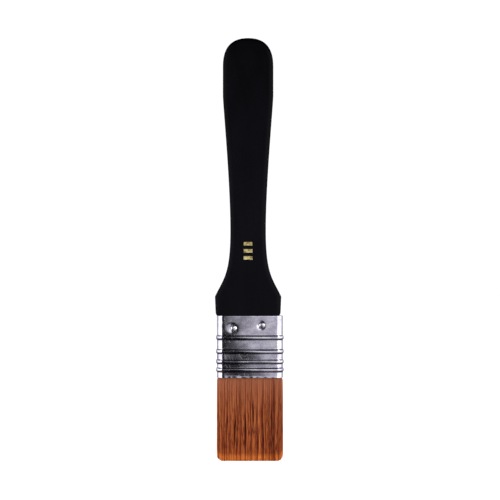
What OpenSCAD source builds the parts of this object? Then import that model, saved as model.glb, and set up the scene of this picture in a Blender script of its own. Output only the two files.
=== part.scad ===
// Flat brush, 30 mm wide: a lacquered wooden paddle handle, a beaded sheet-metal
// ferrule nailed to the handle's tenon, and a tuft of filaments set in resin.
// The brush stands along Z with its tips down. Its front faces -Y.
// The origin is the middle of the handle's waist, where the fingers hold it.

/* [Brush] */
// Working width, which is the outside width of the ferrule
brush_width = 30; // [25:0.5:50]
// How far the ferrule and the tuft sit to one side of the handle's centre line
side_offset = 0.8; // [0:0.1:1]

/* [Handle] */
// How much thicker the handle's board is than the ferrule
board_proud = 0.2; // [0:0.05:1]
// Radius of the rounded edges along the handle
edge_radius = 2.2; // [1:0.1:3]
// Width of the broad palm end
palm_width = 22.9; // [18:0.1:30]
// Length of the round cap at the end
cap_length = 13; // [11:0.5:20]
// Length of the palm end between the round cap and the taper
palm_length = 13; // [5:0.5:30]
// Length of the taper from the palm end to the waist
taper_length = 61.3; // [45:0.1:100]
// Width of the waist, the narrowest place
waist_width = 16.1; // [12:0.1:18]
// Length of the flare from the waist to the shoulder
flare_length = 29.9; // [25:0.1:45]
// How much wider the shoulder is than the ferrule
shoulder_overhang = 0.1; // [0:0.05:1]
// Height of the nearly straight shoulder above the ferrule
shoulder_height = 8.7; // [6:0.1:15]
// How much the shoulder narrows on each side, down to the ferrule
shoulder_draw = 0.3; // [0:0.05:0.6]
// Size of the softened lower corner of the shoulder
shoulder_corner = 0.7; // [0.2:0.1:0.8]
// Length of the tenon that goes into the ferrule
tenon_length = 12.5; // [9:0.5:14]

/* [Ferrule] */
// Outside thickness of the ferrule
ferrule_thickness = 7.4; // [6.1:0.1:9]
// Length of the ferrule
ferrule_length = 28; // [26:0.5:45]
// Width of the flat strip between the rounded corners of each narrow side
ferrule_flat = 1; // [0.6:0.1:1.4]
// Thickness of the sheet metal
sheet = 0.35; // [0.25:0.05:0.5]
// Height that each bead stands out
bead_height = 0.4; // [0.2:0.05:0.5]
// Width of each bead
bead_width = 1.8; // [1.5:0.1:2]
// Distance of the first bead below the ferrule's upper edge
bead_first = 9.8; // [8:0.1:12]
// Steps from the first bead down to the second, third and fourth
bead_steps = [6.3, 4.6, 3.7];
// Width of the lap seam down the back
seam_width = 4; // [3:0.1:4.2]
// Distance of the seam from the middle of the ferrule
seam_side = 9.2; // [8.8:0.1:9.6]

/* [Nails] */
// Diameter of a nail's domed head
nail_head = 2.8; // [2.2:0.1:3.4]
// Height of the domed head
nail_dome = 0.6; // [0.3:0.1:0.9]
// Diameter of a nail's shank
nail_shank = 1.1; // [0.8:0.1:1.4]
// Length of a nail below its head
nail_length = 5; // [4:0.5:6]
// Length of the point
nail_point = 1.2; // [0.8:0.1:2]

/* [Setting] */
// Height of the resin block
resin_height = 6; // [5:0.5:9]
// Depth that the filaments are set into the resin
root_depth = 3.5; // [2:0.5:4.5]
// Thickness of the spacer strip between the two rows of filaments
spacer_thickness = 1.6; // [1:0.1:2.2]
// How much narrower the spacer is than the inside of the ferrule, on each side
spacer_inset = 3; // [1:0.5:6]
// Distance from the mouth of the ferrule up to the spacer's end
spacer_from_mouth = 3; // [2:0.5:5]

/* [Tuft] */
// Length of the filaments below the ferrule
free_length = 38; // [25:1:60]
// How much wider the tuft is than the ferrule
tuft_overhang = 0.2; // [0:0.1:1]
// Thickness of the tuft at its fullest
tuft_belly = 7; // [6.4:0.1:9]
// Thickness of the tuft at the tips
tuft_tip = 4.4; // [3:0.1:6]
// Distance of the bending axis below the mouth of the ferrule
bend_drop = 2.2; // [2.1:0.1:4]
// Roundness of the tuft's lower corners
tip_round = 1.4; // [0.5:0.1:2]

/* [Mark] */
// Width of the gold foil bars
foil_width = 4; // [2:0.5:8]
// Height of one bar
foil_bar = 1.6; // [0.8:0.1:2.5]
// Step from one bar to the next
foil_step = 3.2; // [2.6:0.1:4]
// Distance from the waist down to the middle bar
foil_drop = 9.2; // [4:0.1:14]
// Thickness of the foil
foil_thickness = 0.06; // [0.04:0.01:0.2]

/* [Clearances] */
// Gap between the tenon and the ferrule's flat walls
tenon_gap = 0.05; // [0.02:0.01:0.2]
// Gap between the tenon and the nearer of the ferrule's narrow sides
tenon_side_gap = 0.8; // [0.7:0.05:1.2]
// Gap between the handle's shoulder and the ferrule's upper edge
seat_gap = 0.05; // [0.02:0.01:0.3]
// Gap between the tenon's end and the resin
resin_gap = 0.3; // [0.1:0.1:1]
// Gap between a nail's shank and the wood
nail_gap = 0.02; // [0.01:0.01:0.05]
// Gap between the set filaments or the resin and the ferrule's wall
wall_gap = 0.05; // [0.02:0.01:0.2]
// Gap round the moving tuft inside the ferrule
flex_gap = 0.3; // [0.3:0.05:0.4]

/* [Hidden] */

eps = 0.01;
round_fn = 64;

// Places along Z
palm_top_z = taper_length + palm_length;
handle_top_z = palm_top_z + cap_length;
shoulder_z = -flare_length;
seat_z = shoulder_z - shoulder_height;
ferrule_top_z = seat_z - seat_gap;
mouth_z = ferrule_top_z - ferrule_length;
tip_z = mouth_z - free_length;
bend_z = mouth_z - bend_drop;
tenon_end_z = seat_z - tenon_length;
resin_top_z = tenon_end_z - resin_gap;
resin_bottom_z = resin_top_z - resin_height;
root_top_z = resin_bottom_z + root_depth;

// Board, and the inside of the ferrule
board_thickness = ferrule_thickness + board_proud;
ferrule_corner = (ferrule_thickness - ferrule_flat) / 2;
inner_width = brush_width - 2 * sheet;
inner_thickness = ferrule_thickness - 2 * sheet;
inner_corner = ferrule_corner - sheet;
set_width = inner_width - 2 * wall_gap;
set_thickness = inner_thickness - 2 * wall_gap;
tenon_inset = side_offset + tenon_side_gap;

// Bead arc: its radius from its width and height, and its centre from the sheet's inner face
bead_radius = (pow(bead_width / 2, 2) + pow(bead_height, 2)) / (2 * bead_height);
bead_centre = sheet + bead_height - bead_radius;
bead_z = [
    ferrule_top_z - bead_first,
    ferrule_top_z - bead_first - bead_steps[0],
    ferrule_top_z - bead_first - bead_steps[0] - bead_steps[1],
    ferrule_top_z - bead_first - bead_steps[0] - bead_steps[1] - bead_steps[2]
];

// Nails: [distance from the ferrule's middle, distance below its upper edge]
front_nails = [[-7.2, 5.5], [5.6, 4.3]];
rear_nails = [[-4.8, 4.8], [8, 5.2]];

// Flexing tuft
knuckle_radius = inner_thickness / 2 - flex_gap;
root_bottom_z = bend_z + knuckle_radius + flex_gap;

// How full the end cap is across and along, and how the taper and the flare lead in and out
cap_full_across = 0.83;
cap_full_along = 0.5;
taper_lead_in = 4;
taper_lead_out = 22;
flare_lead_in = 20;
flare_lead_out = 8;
flare_slope = 0.47;
cap_steps = 12;
taper_steps = 12;
flare_steps = 10;
edge_steps = 4;

// ---- Curves and lofts ----

function bezier(a, b, c, d, t) =
    pow(1 - t, 3) * a + 3 * pow(1 - t, 2) * t * b + 3 * (1 - t) * t * t * c + pow(t, 3) * d;

// Points of a curve after its first one
function curve(a, b, c, d, steps) = [for (i = [1 : steps]) bezier(a, b, c, d, i / steps)];

function unit(v) = v / norm(v);

// A closed side wall over rings of equal length, with both ends capped
function loft_faces(rings, n) = concat(
    [[for (k = [0 : n - 1]) k]],
    [for (i = [0 : rings - 2]) for (k = [0 : n - 1])
        [i * n + k, (i + 1) * n + k, (i + 1) * n + (k + 1) % n, i * n + (k + 1) % n]],
    [[for (k = [n - 1 : -1 : 0]) (rings - 1) * n + k]]
);

// Outline of a rectangle w by t whose corners have radius r
function slab_points(w, t, r, steps = 8) = [
    for (corner = [0 : 3])
        let (
            sx = (corner == 0 || corner == 3) ? 1 : -1,
            sy = corner < 2 ? 1 : -1
        )
        for (i = [0 : steps])
            let (angle = 90 * corner + 90 * i / steps)
            [sx * (w / 2 - r) + r * cos(angle), sy * (t / 2 - r) + r * sin(angle)]
];

module slab(w, t, r, low_z, high_z) {
    translate([side_offset, 0, low_z])
        linear_extrude(high_z - low_z)
            polygon(slab_points(w, t, r));
}

// ---- Handle ----

// Right half of the outline from the end cap down to the seat, as [half width, z]
palm_half = palm_width / 2;
waist_half = waist_width / 2;
shoulder_half = (brush_width + shoulder_overhang) / 2;
seat_half = shoulder_half - shoulder_draw;
handle_side = concat(
    [[0, handle_top_z]],
    curve(
        [0, handle_top_z],
        [palm_half * cap_full_across, handle_top_z],
        [palm_half, palm_top_z + cap_length * cap_full_along],
        [palm_half, palm_top_z],
        cap_steps
    ),
    [[palm_half, taper_length]],
    curve(
        [palm_half, taper_length],
        [palm_half, taper_length - taper_lead_in],
        [waist_half, taper_lead_out],
        [waist_half, 0],
        taper_steps
    ),
    curve(
        [waist_half, 0],
        [waist_half, -flare_lead_in],
        [shoulder_half - flare_slope * flare_lead_out, shoulder_z + flare_lead_out],
        [shoulder_half, shoulder_z],
        flare_steps
    ),
    [
        [seat_half, seat_z + 2 * shoulder_corner],
        [seat_half - shoulder_corner * 0.3, seat_z + shoulder_corner * 0.8],
        [seat_half - shoulder_corner, seat_z]
    ]
);
side_last = len(handle_side) - 1;
// From the shoulder down the rounded edge is set in level, so that the seat stays flat
level_from = side_last - 2;

function outward(i) =
    i == 0 ? [0, 1]
    : i >= level_from ? [1, 0]
    : let (along = unit(handle_side[i + 1] - handle_side[i - 1])) [-along[1], along[0]];

// Section through the rounded edge, as [distance in from the outline, y]
edge_section = [
    for (side = [-1, 1]) for (i = [0 : edge_steps])
        let (angle = side < 0 ? 90 - 90 * i / edge_steps : 90 * i / edge_steps)
        [edge_radius * (1 - cos(angle)), side * (board_thickness / 2 - edge_radius * (1 - sin(angle)))]
];

function edge_ring(i, mirrored) = [
    for (e = edge_section)
        let (p = handle_side[i] - e[0] * outward(i))
        [mirrored * p[0], e[1], p[1]]
];

module paddle() {
    n = len(edge_section);
    rings = concat(
        [for (i = [side_last : -1 : 0]) edge_ring(i, -1)],
        [for (i = [1 : side_last]) edge_ring(i, 1)]
    );
    count = len(rings);
    points = [for (ring = rings) for (p = ring) p];
    walls = [
        for (i = [0 : count - 2]) for (k = [0 : n - 2])
            [i * n + k, i * n + k + 1, (i + 1) * n + k + 1, (i + 1) * n + k]
    ];
    // The flat faces are strips across the handle, from one side of the outline to the other
    front = [
        for (i = [0 : side_last - 1])
            let (low = i * n, high = (i + 1) * n, far_low = (count - 1 - i) * n)
            i == side_last - 1 ? [low, high, far_low] : [low, high, far_low - n, far_low]
    ];
    back = [for (f = front) [for (k = [len(f) - 1 : -1 : 0]) f[k] + n - 1]];
    seat = concat(
        [for (k = [n - 1 : -1 : 0]) k],
        [for (k = [0 : n - 1]) (count - 1) * n + k]
    );
    polyhedron(points, concat(walls, front, back, [seat]), convexity = 6);
}

module tenon() {
    slab(
        inner_width - 2 * tenon_inset,
        inner_thickness - 2 * tenon_gap,
        inner_corner / 2,
        tenon_end_z,
        seat_z + shoulder_height / 3
    );
}

// One nail hole, from the ferrule's face to past the nail's point
module nail_hole(place, facing, radius, depth) {
    translate([side_offset + place[0], facing * (ferrule_thickness / 2 + 1), ferrule_top_z - place[1]])
        rotate([facing * 90, 0, 0])
            cylinder(r = radius, h = depth + 1, $fn = round_fn);
}

module nail_holes(radius, depth) {
    for (place = front_nails) nail_hole(place, -1, radius, depth);
    for (place = rear_nails) nail_hole(place, 1, radius, depth);
}

module handle() {
    color([0.06, 0.055, 0.085])
        difference() {
            union() {
                paddle();
                tenon();
            }
            nail_holes(nail_shank / 2 + nail_gap, nail_length + 0.2);
        }
}

// ---- Ferrule ----

// Section of the beaded sheet: X runs outwards from its inner face, Y is the height
module sheet_section() {
    difference() {
        union() {
            translate([0, mouth_z]) square([sheet, ferrule_length]);
            for (z = bead_z)
                intersection() {
                    translate([bead_centre, z]) circle(r = bead_radius, $fn = round_fn);
                    translate([sheet / 2, z - bead_width]) square([bead_radius, 2 * bead_width]);
                }
        }
        for (z = bead_z)
            translate([bead_centre, z]) circle(r = bead_radius - sheet, $fn = round_fn);
    }
}

// A flat wall of the ferrule, turned about Z to face the given way
module ferrule_wall(length, reach, turn) {
    rotate([0, 0, turn])
        translate([reach, length / 2, 0])
            rotate([90, 0, 0])
                linear_extrude(length)
                    sheet_section();
}

module ferrule_corner_wall(sx, sy, turn) {
    translate([
        sx * (brush_width / 2 - ferrule_corner),
        sy * (ferrule_thickness / 2 - ferrule_corner),
        0
    ])
        rotate([0, 0, turn])
            rotate_extrude(angle = 90, $fn = round_fn)
                translate([inner_corner, 0])
                    sheet_section();
}

// The outer lap of the seam, half sunk into the sheet under it
module seam_lap() {
    translate([-seam_side - seam_width / 2, inner_thickness / 2 + sheet / 2, 0])
        rotate([90, 0, 90])
            linear_extrude(seam_width)
                sheet_section();
}

module ferrule() {
    flat_x = brush_width - 2 * ferrule_corner;
    flat_y = ferrule_thickness - 2 * ferrule_corner;
    color([0.72, 0.71, 0.76])
        translate([side_offset, 0, 0])
            difference() {
                union() {
                    for (turn = [0, 180]) ferrule_wall(flat_y, inner_width / 2, turn);
                    for (turn = [90, 270]) ferrule_wall(flat_x, inner_thickness / 2, turn);
                    ferrule_corner_wall(1, 1, 0);
                    ferrule_corner_wall(-1, 1, 90);
                    ferrule_corner_wall(-1, -1, 180);
                    ferrule_corner_wall(1, -1, 270);
                    seam_lap();
                }
                translate([-side_offset, 0, 0])
                    nail_holes(nail_shank / 2 + nail_gap, 2);
            }
}

// ---- Nails ----

// A nail along +Z with the underside of its head at the origin and its point below
module nail() {
    dome_radius = (pow(nail_head / 2, 2) + pow(nail_dome, 2)) / (2 * nail_dome);
    color([0.66, 0.64, 0.6]) {
        rotate_extrude($fn = round_fn)
            intersection() {
                translate([0, nail_dome - dome_radius]) circle(r = dome_radius, $fn = round_fn);
                square([nail_head, nail_dome]);
            }
        rotate_extrude($fn = round_fn)
            polygon([
                [0, eps],
                [nail_shank / 2, eps],
                [nail_shank / 2, nail_point - nail_length],
                [0, -nail_length]
            ]);
    }
}

module placed_nail(place, facing) {
    translate([side_offset + place[0], facing * ferrule_thickness / 2, ferrule_top_z - place[1]])
        rotate([-facing * 90, 0, 0])
            nail();
}

module nail_front_left() {
    placed_nail(front_nails[0], -1);
}

module nail_front_right() {
    placed_nail(front_nails[1], -1);
}

module nail_rear_left() {
    placed_nail(rear_nails[0], 1);
}

module nail_rear_right() {
    placed_nail(rear_nails[1], 1);
}

// ---- Setting inside the ferrule ----

// One row of set filaments between two heights, on the front or the rear side of the spacer
module root_row(facing, grow, low_z, high_z) {
    intersection() {
        slab(
            set_width - 2 * sheet + 2 * grow,
            set_thickness - 2 * sheet + 2 * grow,
            inner_corner - wall_gap - sheet + grow,
            low_z,
            high_z
        );
        translate([
            side_offset - brush_width / 2,
            facing > 0 ? spacer_thickness / 2 - grow : -brush_width - spacer_thickness / 2 + grow,
            low_z - 1
        ])
            cube([brush_width, brush_width, high_z - low_z + 2]);
    }
}

module resin_setting() {
    color([0.78, 0.66, 0.42])
        difference() {
            slab(set_width, set_thickness, inner_corner - wall_gap, resin_bottom_z, resin_top_z);
            for (facing = [-1, 1])
                root_row(facing, 0, resin_bottom_z - 1, root_top_z);
        }
}

module spacer_plug() {
    color([0.8, 0.68, 0.5])
        translate([
            side_offset - inner_width / 2 + spacer_inset,
            -spacer_thickness / 2,
            mouth_z + spacer_from_mouth
        ])
            cube([
                inner_width - 2 * spacer_inset,
                spacer_thickness,
                resin_bottom_z - mouth_z - spacer_from_mouth
            ]);
}

module root_block(facing) {
    color([0.5, 0.27, 0.17]) root_row(facing, 0, root_bottom_z, root_top_z);
}

module filament_root_front() {
    root_block(-1);
}

module filament_root_rear() {
    root_block(1);
}

// ---- Free tuft ----

// Half section of the tuft on its front side: half width w, thickness t, outer corners of radius r
function tuft_ring(w, t, r, z, steps = 5) = concat(
    [[w, 0, z]],
    [for (i = [0 : steps])
        let (angle = 90 * i / steps)
        [w - r + r * cos(angle), -(t - r + r * sin(angle)), z]],
    [for (i = [0 : steps])
        let (angle = 90 - 90 * i / steps)
        [-(w - r + r * cos(angle)), -(t - r + r * sin(angle)), z]],
    [[-w, 0, z]]
);

knuckle_half = inner_width / 2 - flex_gap;
tuft_half = (brush_width + tuft_overhang) / 2;
belly_z = mouth_z - free_length * 0.3;
tuft_corner = inner_corner - flex_gap;

// Stations down the tuft, as [half width, half thickness, z]
tuft_stations = concat(
    [for (angle = [84 : -12 : 0])
        [knuckle_half, knuckle_radius * cos(angle), bend_z + knuckle_radius * sin(angle)]],
    [
        [tuft_half, (knuckle_radius + tuft_belly / 2) / 2, bend_z - 3],
        [tuft_half, tuft_belly / 2, belly_z],
        [tuft_half, (tuft_belly + tuft_tip) / 4, (belly_z + tip_z) / 2]
    ],
    [for (angle = [0 : 30 : 90])
        [
            tuft_half - tip_round * (1 - cos(angle)),
            tuft_tip / 2 - tip_round * (1 - cos(angle)) / 2,
            tip_z + tip_round * (1 - sin(angle))
        ]]
);

module tuft_half_solid() {
    rings = [
        for (s = tuft_stations)
            tuft_ring(s[0], s[1], min(tuft_corner, s[1] * 0.9), s[2])
    ];
    n = len(rings[0]);
    polyhedron([for (ring = rings) for (p = ring) p], loft_faces(len(rings), n), convexity = 4);
}

module filament_tuft_front() {
    color([0.55, 0.29, 0.17])
        translate([side_offset, 0, 0])
            tuft_half_solid();
}

module filament_tuft_rear() {
    color([0.5, 0.26, 0.15])
        translate([side_offset, 0, 0])
            rotate([0, 0, 180])
                tuft_half_solid();
}

// ---- Mark ----

module foil_mark() {
    color([0.88, 0.84, 0.6])
        for (i = [-1 : 1])
            translate([
                -foil_width / 2,
                -board_thickness / 2 - foil_thickness,
                -foil_drop + i * foil_step - foil_bar / 2
            ])
                cube([foil_width, foil_thickness, foil_bar]);
}

handle();
ferrule();
nail_front_left();
nail_front_right();
nail_rear_left();
nail_rear_right();
resin_setting();
spacer_plug();
filament_root_front();
filament_root_rear();
filament_tuft_front();
filament_tuft_rear();
foil_mark();
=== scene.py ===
"""A 30 mm flat brush: a lacquered paddle handle, a beaded tinplate ferrule and a straight-cut tuft.

Each operator makes one piece, or one group of like pieces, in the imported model's own frame.
The brush stands along Z with its tips down, and its front faces -Y. Lengths are in metres.
"""

import math
import random

import bmesh
import bpy
from mathutils import Matrix, Vector, noise


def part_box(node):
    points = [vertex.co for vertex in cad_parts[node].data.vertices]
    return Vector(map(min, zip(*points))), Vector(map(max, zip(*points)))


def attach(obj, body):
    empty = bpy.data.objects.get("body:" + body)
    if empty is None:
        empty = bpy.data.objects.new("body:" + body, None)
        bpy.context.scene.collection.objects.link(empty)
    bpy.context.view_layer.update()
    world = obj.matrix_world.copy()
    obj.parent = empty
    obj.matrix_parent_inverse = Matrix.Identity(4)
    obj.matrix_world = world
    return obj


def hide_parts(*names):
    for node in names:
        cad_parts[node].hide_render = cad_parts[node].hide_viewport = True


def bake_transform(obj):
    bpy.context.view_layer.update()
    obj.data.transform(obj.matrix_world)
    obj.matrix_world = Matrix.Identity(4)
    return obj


bl_info = {
    "name": "Flat brush",
    "version": (1, 0, 0),
    "blender": (4, 5, 0),
    "location": "3D View > Sidebar > Brush",
    "description": "Builds a flat brush with its lacquer, metal and filament finishes",
    "category": "Object",
}

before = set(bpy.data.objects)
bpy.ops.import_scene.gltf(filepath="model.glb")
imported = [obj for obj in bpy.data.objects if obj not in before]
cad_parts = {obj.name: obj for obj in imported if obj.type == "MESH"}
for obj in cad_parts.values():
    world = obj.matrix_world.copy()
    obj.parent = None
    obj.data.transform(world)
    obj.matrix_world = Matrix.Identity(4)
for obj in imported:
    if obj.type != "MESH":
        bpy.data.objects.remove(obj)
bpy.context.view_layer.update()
MM = 0.001

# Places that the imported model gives
HANDLE_LOW, HANDLE_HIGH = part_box("handle")
FERRULE_LOW, FERRULE_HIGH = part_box("ferrule")
TUFT_LOW, TUFT_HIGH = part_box("filament_tuft_front")
ROOT_LOW, ROOT_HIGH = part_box("filament_root_front")
FOIL_LOW, FOIL_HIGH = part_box("foil_mark")
FERRULE_X = (FERRULE_LOW.x + FERRULE_HIGH.x) / 2
MOUTH_Z = FERRULE_LOW.z
FERRULE_TOP = FERRULE_HIGH.z
TIP_Z = TUFT_LOW.z
FREE_LENGTH = MOUTH_Z - TIP_Z
TUFT_HALF = (TUFT_HIGH.x - TUFT_LOW.x) / 2
NAILS = ("nail_front_left", "nail_front_right", "nail_rear_left", "nail_rear_right")


# ---- Sizes and colours that a user may change ----


def length(label, text, default, low, high):
    """A length in millimetres, kept in metres."""
    return bpy.props.FloatProperty(
        name=label,
        description=text,
        default=default * MM,
        min=low * MM,
        max=high * MM,
        unit="LENGTH",
        subtype="DISTANCE",
        precision=5,
    )


def colour(label, text, default):
    """A colour, kept as the linear numbers of an sRGB hex value."""
    return bpy.props.FloatVectorProperty(
        name=label,
        description=text,
        default=linear(default),
        min=0,
        max=1,
        size=4,
        subtype="COLOR",
    )


def linear(hex_value):
    """The linear red, green, blue and alpha of an sRGB hex value such as 1a2b3c."""
    parts = [int(hex_value[i:i + 2], 16) / 255 for i in (0, 2, 4)]
    return (*[c / 12.92 if c <= 0.04045 else ((c + 0.055) / 1.055) ** 2.4 for c in parts], 1.0)


class HandleSizes(bpy.types.PropertyGroup):
    palm_width: length("Palm width", "Width of the broad end of the handle", 22.9, 18, 30)
    cap_length: length("Cap length", "Length of the round cap", 13, 11, 20)
    taper_start: length("Taper start", "Height above the waist at which the taper starts", 61.3, 45, 100)
    waist_width: length("Waist width", "Width of the narrowest place", 16.1, 12, 18)
    flare_length: length("Flare length", "Length of the flare below the waist", 29.9, 25, 45)
    shoulder_draw: length("Shoulder draw", "How much the shoulder narrows on each side", 0.3, 0, 0.6)
    shoulder_corner: length("Shoulder corner", "Size of the softened lower corner", 0.7, 0.2, 0.8)
    edge_radius: length("Edge radius", "Radius of the rounded edges", 2.2, 1, 3)
    seat_edge: length("Seat edge", "Radius of the edge where the handle meets the ferrule", 0.25, 0.1, 0.5)
    seat_gap: length("Seat gap", "Gap between the handle's seat and the ferrule", 0.05, 0.02, 0.3)
    tenon_inset: length("Tenon inset", "How far the tenon stands in from the ferrule's sides", 2.35, 2, 3)
    tenon_gap: length("Tenon gap", "How far the tenon stands in from the handle's faces", 0.5, 0.45, 0.8)
    lacquer_run: length("Lacquer run", "How far the lacquer runs down the tenon", 3.5, 0, 6)
    # The two lacquer colours paint light and shade along the handle: lighter near the shoulder and darker
    # towards the round cap
    shoulder_lacquer_painted_lit: colour("Lacquer at the shoulder", "Colour of the lacquer near the ferrule", "08070c")
    end_lacquer_painted_shaded: colour("Lacquer at the end", "Colour of the lacquer near the round cap", "010102")


class FerruleSizes(bpy.types.PropertyGroup):
    bead_height: length("Bead height", "How far each bead stands out", 0.4, 0.2, 0.5)
    bead_width: length("Bead width", "Width of each bead", 2, 1.5, 2.2)
    corner_radius: length("Corner radius", "Radius of the rounded narrow sides", 3.2, 2.5, 3.6)
    sheet: length("Sheet", "Thickness of the tinplate", 0.35, 0.25, 0.5)
    belly: length("Belly", "How far the broad faces swell between the narrow sides", 0.32, 0, 0.6)
    ripple: length("Ripple", "Height of the slow waves in the sheet", 0.03, 0, 0.1)
    dish_radius: length("Dish radius", "Radius of the hollow that each nail pulls in", 2.1, 1.5, 4)
    dish_aside: length("Dish aside", "How far each hollow lies to one side of its nail", 0.9, 0, 1.5)
    dish_depth: length("Dish depth", "Depth of that hollow below the plain face", 0.3, 0, 0.4)
    seam_side: length("Seam side", "Distance of the lap seam from the ferrule's middle", 9.2, 8.8, 9.6)
    seam_width: length("Seam width", "Width of the lap seam", 4, 3, 4.2)
    flare: length("Flare", "How far the mouth's edge is turned out", 0.12, 0, 0.3)
    flare_height: length("Flare height", "Height over which the mouth turns out", 0.8, 0.4, 1.5)
    scallop: length("Scallop", "Height of the waves along the mouth's edge", 0.12, 0, 0.3)
    metal: colour("Metal", "Colour of the plating", "dad7e0")
    tarnish: colour("Tarnish", "Colour of the duller plating", "aaa6b8")


class NailSizes(bpy.types.PropertyGroup):
    shank: length("Shank", "Diameter of a nail's shank", 1.1, 0.8, 1.4)
    point: length("Point", "Length of a nail's point", 1.2, 0.8, 2)
    dome: length("Dome", "Height of the domed head", 0.5, 0.3, 0.9)
    tilt: bpy.props.FloatProperty(
        name="Tilt",
        description="How far the heads lean from being driven by hand",
        default=math.radians(6),
        min=0,
        max=math.radians(12),
        unit="ROTATION",
        subtype="ANGLE",
    )
    steel: colour("Steel", "Colour of the nail heads", "d2d0d6")


class TuftSizes(bpy.types.PropertyGroup):
    strand: length("Filament", "Thickness of one filament at its root", 0.21, 0.1, 0.4)
    per_group: bpy.props.IntProperty(
        name="Filaments in a group",
        description="How many filaments each group holds",
        default=288,
        min=16,
        max=600,
    )
    groups: bpy.props.IntProperty(
        name="Groups in a row",
        description="How many groups each row of filaments is split into",
        default=8,
        min=1,
        max=16,
    )
    belly: length("Belly", "Thickness of the tuft at its fullest", 7, 6.4, 9)
    tips: length("Tips", "Thickness of the tuft at its tips", 4.4, 3, 6)
    tip_round: length("Tip round", "Roundness of the tuft's lower corners", 3, 0.5, 4)
    uneven: length("Uneven", "How much the filaments differ in length", 0.35, 0, 1)
    mouth_inset: length("Mouth inset", "How far the filaments stand in from the beads", 0.9, 0.8, 1.5)
    lock: length("Lock", "Width of the small locks that the filaments gather into", 0.55, 0.4, 2)
    sway: length("Sway", "How far a lock wanders from side to side", 0.32, 0, 0.6)
    root_tone: colour("Root colour", "Colour of the filaments near the ferrule", "a9684b")
    middle_tone: colour("Middle colour", "Colour half way down", "b56838")
    low_tone: colour("Low colour", "Colour above the tips", "b8632c")
    tip_tone: colour("Tip colour", "Colour of the fine tips", "f79642")


class MarkSizes(bpy.types.PropertyGroup):
    bar: length("Bar", "Height of one foil bar", 1.6, 0.8, 2.5)
    ragged: length("Ragged edge", "How far the foil's edge strays", 0.07, 0, 0.2)
    gold: colour("Gold", "Colour of the foil", "e9dd9d")
    worn: colour("Worn gold", "Colour of the foil where it is rubbed thin", "a08a4c")


class StageSizes(bpy.types.PropertyGroup):
    lens: bpy.props.FloatProperty(
        name="Lens",
        description="Focal length of the camera in millimetres",
        default=100,
        min=50,
        max=200,
        unit="CAMERA",
    )
    view_width: length("View width", "Width of the picture at the brush", 227.3, 200, 300)
    view_x: length("View side", "How far the camera stands to the right", 0.86, -5, 5)
    view_z: length("View height", "Height of the camera from the waist", -8.8, -20, 20)
    floor_drop: length("Floor drop", "How far the floor lies below the tips", 12, 0, 50)
    floor_radius: length("Floor radius", "Radius of the floor", 3000, 500, 6000)


# ---- Curves ----


def bezier(a, b, c, d, t):
    """A point of a cubic curve."""
    s = 1 - t
    return s * s * s * a + 3 * s * s * t * b + 3 * s * t * t * c + t * t * t * d


def curve(points, steps):
    """Points of a cubic curve after its first one."""
    corners = [Vector(p) for p in points]
    return [bezier(*corners, i / steps) for i in range(1, steps + 1)]


def ease(value):
    """0 below 0, 1 above 1, and a smooth step between."""
    t = min(max(value, 0.0), 1.0)
    return t * t * (3 - 2 * t)


# ---- Meshes ----


def verts_in(made):
    return [g for g in made["geom"] if isinstance(g, bmesh.types.BMVert)]


def cut(bm, place, direction):
    """Cuts every face along a plane, and leaves both sides."""
    geom = bm.verts[:] + bm.edges[:] + bm.faces[:]
    bmesh.ops.bisect_plane(bm, geom=geom, dist=1e-7, plane_co=place, plane_no=direction)


def shade(bm, sharpest):
    """Smooth faces, with an edge kept crisp where it turns more than this many degrees."""
    for face in bm.faces:
        face.smooth = True
    for edge in bm.edges:
        if len(edge.link_faces) == 2 and edge.calc_face_angle(0) > math.radians(sharpest):
            edge.smooth = False


def piece(name, bm, materials):
    """Makes an object at the origin from a bmesh."""
    mesh = bpy.data.meshes.new(name)
    bm.to_mesh(mesh)
    bm.free()
    for material in materials:
        mesh.materials.append(material)
    obj = bpy.data.objects.new(name, mesh)
    bpy.context.scene.collection.objects.link(obj)
    return obj


# ---- Materials ----


def add(tree, kind, inputs=(), stops=(), **settings):
    """Adds a node with its settings and links.

    Inputs go in the node's own order, or by name or number. Each is a value, a socket, or a node
    that gives its first output in use. Stops are the places and colours of a ramp.
    """
    node = tree.nodes.new(kind)
    for key, value in settings.items():
        setattr(node, key, value)
    named = inputs if isinstance(inputs, dict) else dict(enumerate(inputs))
    for key, value in named.items():
        if isinstance(value, bpy.types.Node):
            value = next(output for output in value.outputs if output.enabled)
        if isinstance(value, bpy.types.NodeSocket):
            tree.links.new(value, node.inputs[key])
        else:
            node.inputs[key].default_value = value
    if stops:
        elements = node.color_ramp.elements
        while len(elements) < len(stops):
            elements.new(0.5)
        for element, (position, value) in zip(elements, stops):
            element.position = position
            element.color = value
    return node


def empty_material(name):
    """A new material, its tree without nodes, and the Object coordinates that its patterns use."""
    made = bpy.data.materials.new(name)
    made.use_nodes = True
    tree = made.node_tree
    tree.nodes.clear()
    return made, tree, add(tree, "ShaderNodeTexCoord").outputs["Object"]


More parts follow.
